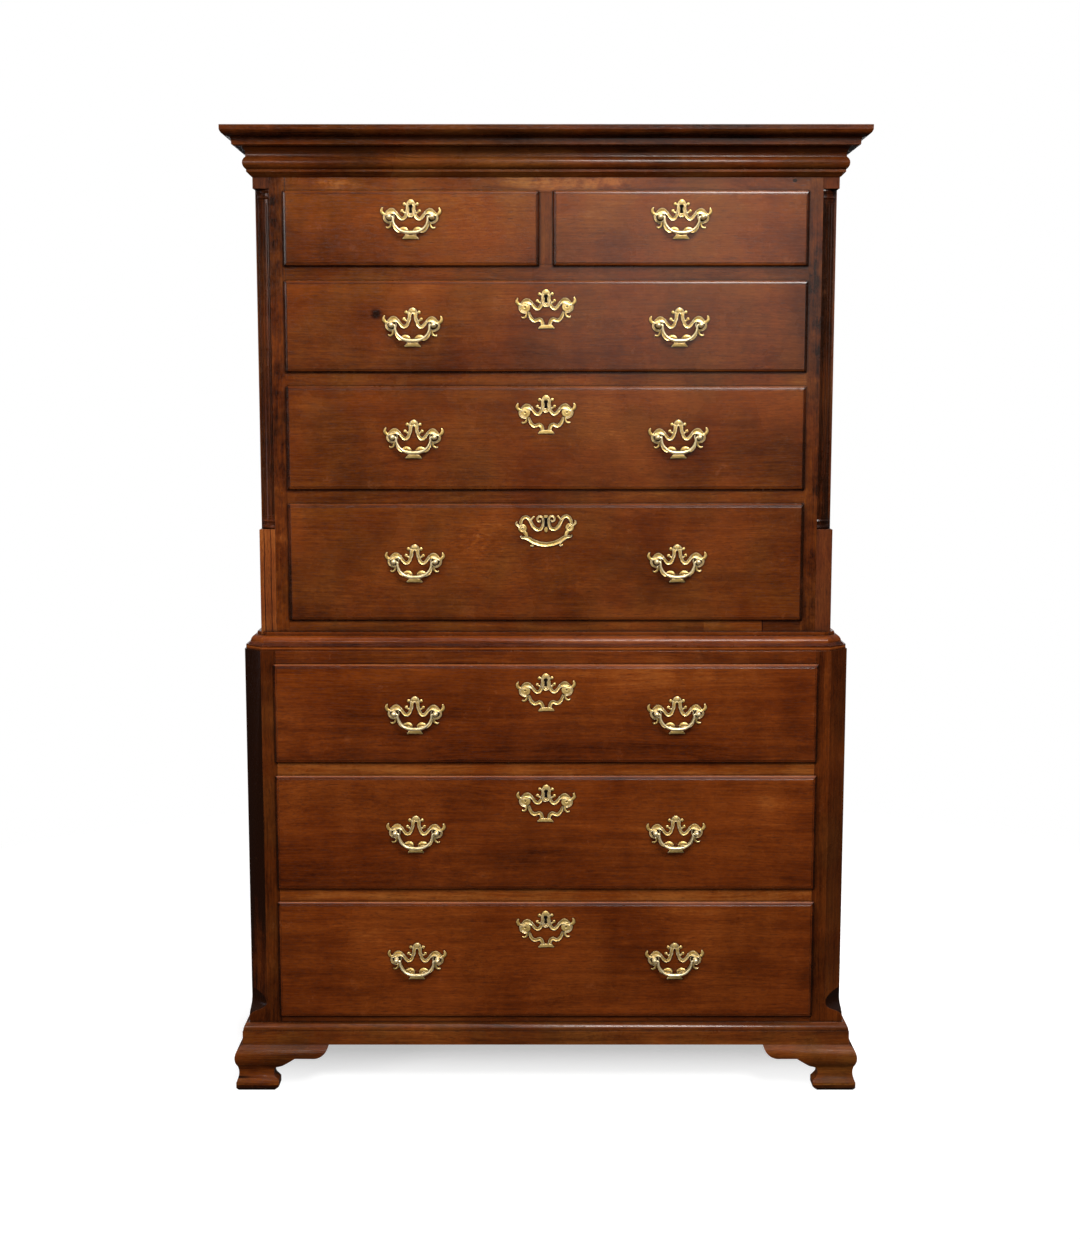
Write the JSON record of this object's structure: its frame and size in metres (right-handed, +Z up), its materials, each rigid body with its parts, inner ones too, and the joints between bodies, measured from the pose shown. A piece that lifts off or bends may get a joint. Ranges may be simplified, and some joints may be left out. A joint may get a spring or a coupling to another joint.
{
  "type": "chest on chest",
  "caption": "Tall stacked chest of drawers: a narrower upper case with stepped cornice and fluted quarter columns stands on a wider chest with canted corners and ogee bracket feet.",
  "frame": {"origin": "on the floor under the middle of the whole piece", "axes": "+Z up, -Y towards the viewer (the drawers open along -Y), +X to the viewer's right"},
  "size_m": [1.178, 0.571, 1.785],
  "materials": {
    "mahogany": "waxed and worn, satin",
    "oak": "dry, unpolished",
    "brass": "old polished, dark in the recesses",
    "iron": "filed, dull"
  },
  "bodies": {
    "carcase": {"back_boards": "oak", "lower_case_sides": "mahogany", "upper_case_sides": "mahogany", "lower_corner_posts": "mahogany", "lower_drawer_rails": "mahogany", "lower_inner_boards": "oak", "bracket_feet": "mahogany", "base_moulding": "mahogany", "waist_moulding": "mahogany", "upper_front_frame": "mahogany", "upper_inner_boards": "oak", "quarter_columns": "mahogany", "corner_blocks": "mahogany", "cornice": "mahogany"},
    "short_drawer_left": {"short_drawer_left_front": "mahogany", "short_drawer_left_box": "oak", "short_drawer_left_brasses": "brass"},
    "short_drawer_left_bolt": {"short_drawer_left_lock_bolt": "iron"},
    "short_drawer_left_bail": {"short_drawer_left_bail": "brass"},
    "short_drawer_right": {"short_drawer_right_front": "mahogany", "short_drawer_right_box": "oak", "short_drawer_right_brasses": "brass"},
    "short_drawer_right_bolt": {"short_drawer_right_lock_bolt": "iron"},
    "short_drawer_right_bail": {"short_drawer_right_bail": "brass"},
    "upper_drawer_1": {"upper_drawer_1_front": "mahogany", "upper_drawer_1_box": "oak", "upper_drawer_1_brasses": "brass"},
    "upper_drawer_1_bolt": {"upper_drawer_1_lock_bolt": "iron"},
    "upper_drawer_1_left_bail": {"upper_drawer_1_left_bail": "brass"},
    "upper_drawer_1_right_bail": {"upper_drawer_1_right_bail": "brass"},
    "upper_drawer_2": {"upper_drawer_2_front": "mahogany", "upper_drawer_2_box": "oak", "upper_drawer_2_brasses": "brass"},
    "upper_drawer_2_bolt": {"upper_drawer_2_lock_bolt": "iron"},
    "upper_drawer_2_left_bail": {"upper_drawer_2_left_bail": "brass"},
    "upper_drawer_2_right_bail": {"upper_drawer_2_right_bail": "brass"},
    "upper_drawer_3": {"upper_drawer_3_front": "mahogany", "upper_drawer_3_box": "oak", "upper_drawer_3_brasses": "brass"},
    "upper_drawer_3_bolt": {"upper_drawer_3_lock_bolt": "iron"},
    "upper_drawer_3_left_bail": {"upper_drawer_3_left_bail": "brass"},
    "upper_drawer_3_right_bail": {"upper_drawer_3_right_bail": "brass"},
    "lower_drawer_1": {"lower_drawer_1_front": "mahogany", "lower_drawer_1_box": "oak", "lower_drawer_1_brasses": "brass"},
    "lower_drawer_1_bolt": {"lower_drawer_1_lock_bolt": "iron"},
    "lower_drawer_1_left_bail": {"lower_drawer_1_left_bail": "brass"},
    "lower_drawer_1_right_bail": {"lower_drawer_1_right_bail": "brass"},
    "lower_drawer_2": {"lower_drawer_2_front": "mahogany", "lower_drawer_2_box": "oak", "lower_drawer_2_brasses": "brass"},
    "lower_drawer_2_bolt": {"lower_drawer_2_lock_bolt": "iron"},
    "lower_drawer_2_left_bail": {"lower_drawer_2_left_bail": "brass"},
    "lower_drawer_2_right_bail": {"lower_drawer_2_right_bail": "brass"},
    "lower_drawer_3": {"lower_drawer_3_front": "mahogany", "lower_drawer_3_box": "oak", "lower_drawer_3_brasses": "brass"},
    "lower_drawer_3_bolt": {"lower_drawer_3_lock_bolt": "iron"},
    "lower_drawer_3_left_bail": {"lower_drawer_3_left_bail": "brass"},
    "lower_drawer_3_right_bail": {"lower_drawer_3_right_bail": "brass"}
  },
  "joints": [
    {"name": "short_drawer_left_slide", "type": "slide", "parent": "carcase", "child": "short_drawer_left", "axis": [0, -1, 0], "range_m": [0, 0.38]},
    {"name": "short_drawer_left_bolt_throw", "type": "slide", "parent": "short_drawer_left", "child": "short_drawer_left_bolt", "axis": [0, 0, 1], "range_m": [0, 0.009]},
    {"name": "short_drawer_left_bail_swing", "type": "hinge", "parent": "short_drawer_left", "child": "short_drawer_left_bail", "pos_m": [-0.24475, -0.2478, 1.6275], "axis": [-1, 0, 0], "range_deg": [-12, 185]},
    {"name": "short_drawer_right_slide", "type": "slide", "parent": "carcase", "child": "short_drawer_right", "axis": [0, -1, 0], "range_m": [0, 0.38]},
    {"name": "short_drawer_right_bolt_throw", "type": "slide", "parent": "short_drawer_right", "child": "short_drawer_right_bolt", "axis": [0, 0, 1], "range_m": [0, 0.009]},
    {"name": "short_drawer_right_bail_swing", "type": "hinge", "parent": "short_drawer_right", "child": "short_drawer_right_bail", "pos_m": [0.24475, -0.2478, 1.6275], "axis": [-1, 0, 0], "range_deg": [-12, 185]},
    {"name": "upper_drawer_1_slide", "type": "slide", "parent": "carcase", "child": "upper_drawer_1", "axis": [0, -1, 0], "range_m": [0, 0.38]},
    {"name": "upper_drawer_1_bolt_throw", "type": "slide", "parent": "upper_drawer_1", "child": "upper_drawer_1_bolt", "axis": [0, 0, 1], "range_m": [0, 0.009]},
    {"name": "upper_drawer_1_left_bail_swing", "type": "hinge", "parent": "upper_drawer_1", "child": "upper_drawer_1_left_bail", "pos_m": [-0.243, -0.2478, 1.43475], "axis": [-1, 0, 0], "range_deg": [-12, 185]},
    {"name": "upper_drawer_1_right_bail_swing", "type": "hinge", "parent": "upper_drawer_1", "child": "upper_drawer_1_right_bail", "pos_m": [0.243, -0.2478, 1.43475], "axis": [-1, 0, 0], "range_deg": [-12, 185]},
    {"name": "upper_drawer_2_slide", "type": "slide", "parent": "carcase", "child": "upper_drawer_2", "axis": [0, -1, 0], "range_m": [0, 0.38]},
    {"name": "upper_drawer_2_bolt_throw", "type": "slide", "parent": "upper_drawer_2", "child": "upper_drawer_2_bolt", "axis": [0, 0, 1], "range_m": [0, 0.009]},
    {"name": "upper_drawer_2_left_bail_swing", "type": "hinge", "parent": "upper_drawer_2", "child": "upper_drawer_2_left_bail", "pos_m": [-0.243, -0.2478, 1.232], "axis": [-1, 0, 0], "range_deg": [-12, 185]},
    {"name": "upper_drawer_2_right_bail_swing", "type": "hinge", "parent": "upper_drawer_2", "child": "upper_drawer_2_right_bail", "pos_m": [0.243, -0.2478, 1.232], "axis": [-1, 0, 0], "range_deg": [-12, 185]},
    {"name": "upper_drawer_3_slide", "type": "slide", "parent": "carcase", "child": "upper_drawer_3", "axis": [0, -1, 0], "range_m": [0, 0.38]},
    {"name": "upper_drawer_3_bolt_throw", "type": "slide", "parent": "upper_drawer_3", "child": "upper_drawer_3_bolt", "axis": [0, 0, 1], "range_m": [0, 0.009]},
    {"name": "upper_drawer_3_left_bail_swing", "type": "hinge", "parent": "upper_drawer_3", "child": "upper_drawer_3_left_bail", "pos_m": [-0.243, -0.2478, 1.003], "axis": [-1, 0, 0], "range_deg": [-12, 185]},
    {"name": "upper_drawer_3_right_bail_swing", "type": "hinge", "parent": "upper_drawer_3", "child": "upper_drawer_3_right_bail", "pos_m": [0.243, -0.2478, 1.003], "axis": [-1, 0, 0], "range_deg": [-12, 185]},
    {"name": "lower_drawer_1_slide", "type": "slide", "parent": "carcase", "child": "lower_drawer_1", "axis": [0, -1, 0], "range_m": [0, 0.4]},
    {"name": "lower_drawer_1_bolt_throw", "type": "slide", "parent": "lower_drawer_1", "child": "lower_drawer_1_bolt", "axis": [0, 0, 1], "range_m": [0, 0.009]},
    {"name": "lower_drawer_1_left_bail_swing", "type": "hinge", "parent": "lower_drawer_1", "child": "lower_drawer_1_left_bail", "pos_m": [-0.243, -0.2798, 0.7235], "axis": [-1, 0, 0], "range_deg": [-12, 185]},
    {"name": "lower_drawer_1_right_bail_swing", "type": "hinge", "parent": "lower_drawer_1", "child": "lower_drawer_1_right_bail", "pos_m": [0.243, -0.2798, 0.7235], "axis": [-1, 0, 0], "range_deg": [-12, 185]},
    {"name": "lower_drawer_2_slide", "type": "slide", "parent": "carcase", "child": "lower_drawer_2", "axis": [0, -1, 0], "range_m": [0, 0.4]},
    {"name": "lower_drawer_2_bolt_throw", "type": "slide", "parent": "lower_drawer_2", "child": "lower_drawer_2_bolt", "axis": [0, 0, 1], "range_m": [0, 0.009]},
    {"name": "lower_drawer_2_left_bail_swing", "type": "hinge", "parent": "lower_drawer_2", "child": "lower_drawer_2_left_bail", "pos_m": [-0.243, -0.2798, 0.4975], "axis": [-1, 0, 0], "range_deg": [-12, 185]},
    {"name": "lower_drawer_2_right_bail_swing", "type": "hinge", "parent": "lower_drawer_2", "child": "lower_drawer_2_right_bail", "pos_m": [0.243, -0.2798, 0.4975], "axis": [-1, 0, 0], "range_deg": [-12, 185]},
    {"name": "lower_drawer_3_slide", "type": "slide", "parent": "carcase", "child": "lower_drawer_3", "axis": [0, -1, 0], "range_m": [0, 0.4]},
    {"name": "lower_drawer_3_bolt_throw", "type": "slide", "parent": "lower_drawer_3", "child": "lower_drawer_3_bolt", "axis": [0, 0, 1], "range_m": [0, 0.009]},
    {"name": "lower_drawer_3_left_bail_swing", "type": "hinge", "parent": "lower_drawer_3", "child": "lower_drawer_3_left_bail", "pos_m": [-0.243, -0.2798, 0.2525], "axis": [-1, 0, 0], "range_deg": [-12, 185]},
    {"name": "lower_drawer_3_right_bail_swing", "type": "hinge", "parent": "lower_drawer_3", "child": "lower_drawer_3_right_bail", "pos_m": [0.243, -0.2798, 0.2525], "axis": [-1, 0, 0], "range_deg": [-12, 185]}
  ]
}
